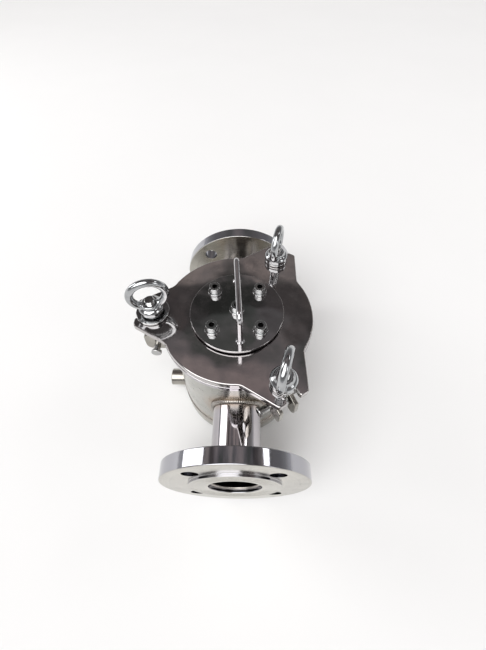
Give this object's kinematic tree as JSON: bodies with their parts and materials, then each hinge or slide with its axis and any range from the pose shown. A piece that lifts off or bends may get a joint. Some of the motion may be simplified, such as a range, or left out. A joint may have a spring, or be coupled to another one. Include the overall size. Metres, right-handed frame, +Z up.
{
  "type": "basket strainer",
  "caption": "Stainless basket strainer with flanged inline nozzles, a lobed lid held by swing bolts and ring nuts, and a lift-out magnet cartridge.",
  "frame": {"origin": "centre of the flat vessel bottom, the face it stands on", "axes": "+Z up, +Y along the flow axis from the outlet flange to the inlet flange, +X to the right with the lone clamp and the drain at -X"},
  "size_m": [0.2123, 0.326, 0.2482],
  "materials": {
    "polished_steel": "mirror polished",
    "satin_steel": "satin",
    "machined_steel": "machined",
    "bright_steel": "bright",
    "mesh_steel": "perforated sheet",
    "black_rubber": "matte"
  },
  "bodies": {
    "vessel": {"vessel_shell": "satin_steel", "bottom_cap": "satin_steel", "body_ring": "polished_steel", "lid_seal": "black_rubber", "outlet_pipe": "polished_steel", "outlet_flange": "machined_steel", "inlet_pipe": "polished_steel", "inlet_flange": "machined_steel", "basket_seat": "satin_steel", "basket_screen": "mesh_steel", "basket_rim": "satin_steel", "basket_bottom": "mesh_steel", "basket_grip_left": "satin_steel", "basket_grip_right": "satin_steel", "lid": "polished_steel", "sleeve_centre": "satin_steel", "sleeve_front_left": "satin_steel", "sleeve_front_right": "satin_steel", "sleeve_rear_left": "satin_steel", "sleeve_rear_right": "satin_steel", "drain_coupling": "satin_steel", "left_clevis": "satin_steel", "left_pin": "bright_steel", "left_pin_nut": "bright_steel", "right_rear_clevis": "satin_steel", "right_rear_pin": "bright_steel", "right_rear_pin_nut": "bright_steel", "right_front_clevis": "satin_steel", "right_front_pin": "bright_steel", "right_front_pin_nut": "bright_steel"},
    "magnet_cartridge": {"magnet_plate": "polished_steel", "plate_gasket": "black_rubber", "lift_handle": "bright_steel", "magnet_rod_centre": "satin_steel", "rod_washer_centre": "bright_steel", "rod_screw_centre": "bright_steel", "magnet_rod_front_left": "satin_steel", "rod_washer_front_left": "bright_steel", "rod_screw_front_left": "bright_steel", "magnet_rod_front_right": "satin_steel", "rod_washer_front_right": "bright_steel", "rod_screw_front_right": "bright_steel", "magnet_rod_rear_left": "satin_steel", "rod_washer_rear_left": "bright_steel", "rod_screw_rear_left": "bright_steel", "magnet_rod_rear_right": "satin_steel", "rod_washer_rear_right": "bright_steel", "rod_screw_rear_right": "bright_steel"},
    "drain_plug": {"drain_plug": "bright_steel"},
    "left_bolt": {"left_swing_bolt": "bright_steel"},
    "left_washer": {"left_washer": "bright_steel"},
    "left_nut": {"left_ring_nut": "bright_steel"},
    "right_rear_bolt": {"right_rear_swing_bolt": "bright_steel"},
    "right_rear_washer": {"right_rear_washer": "bright_steel"},
    "right_rear_nut": {"right_rear_ring_nut": "bright_steel"},
    "right_front_bolt": {"right_front_swing_bolt": "bright_steel"},
    "right_front_washer": {"right_front_washer": "bright_steel"},
    "right_front_nut": {"right_front_ring_nut": "bright_steel"}
  },
  "joints": [
    {"name": "magnet_lift", "type": "slide", "parent": "vessel", "child": "magnet_cartridge", "axis": [0, 0, 1], "range_m": [0, 0.165]},
    {"name": "drain_plug_out", "type": "slide", "parent": "vessel", "child": "drain_plug", "axis": [-1, 0, 0], "range_m": [0, 0.025]},
    {"name": "left_swing", "type": "hinge", "parent": "vessel", "child": "left_bolt", "pos_m": [-0.099, 0, 0.144], "axis": [0, -1, 0], "range_deg": [0, 80]},
    {"name": "left_back_off", "type": "slide", "parent": "left_bolt", "child": "left_washer", "axis": [0, 0, 1], "range_m": [0, 0.017]},
    {"name": "left_nut_spin", "type": "hinge", "parent": "left_washer", "child": "left_nut", "pos_m": [-0.099, 0, 0.2], "axis": [0, 0, 1], "continuous": true},
    {"name": "right_rear_swing", "type": "hinge", "parent": "vessel", "child": "right_rear_bolt", "pos_m": [0.0495, 0.08574, 0.144], "axis": [-0.866, 0.5, 0], "range_deg": [0, 80]},
    {"name": "right_rear_back_off", "type": "slide", "parent": "right_rear_bolt", "child": "right_rear_washer", "axis": [0, 0, 1], "range_m": [0, 0.017]},
    {"name": "right_rear_nut_spin", "type": "hinge", "parent": "right_rear_washer", "child": "right_rear_nut", "pos_m": [0.0495, 0.08574, 0.2], "axis": [0, 0, 1], "continuous": true},
    {"name": "right_front_swing", "type": "hinge", "parent": "vessel", "child": "right_front_bolt", "pos_m": [0.0495, -0.08574, 0.144], "axis": [0.866, 0.5, 0], "range_deg": [0, 80]},
    {"name": "right_front_back_off", "type": "slide", "parent": "right_front_bolt", "child": "right_front_washer", "axis": [0, 0, 1], "range_m": [0, 0.017]},
    {"name": "right_front_nut_spin", "type": "hinge", "parent": "right_front_washer", "child": "right_front_nut", "pos_m": [0.0495, -0.08574, 0.2], "axis": [0, 0, 1], "continuous": true}
  ],
  "couplings": [
    {"joint": "left_back_off", "follows": "left_swing", "m_per_rad": 0.012},
    {"joint": "right_rear_back_off", "follows": "right_rear_swing", "m_per_rad": 0.012},
    {"joint": "right_front_back_off", "follows": "right_front_swing", "m_per_rad": 0.012}
  ]
}
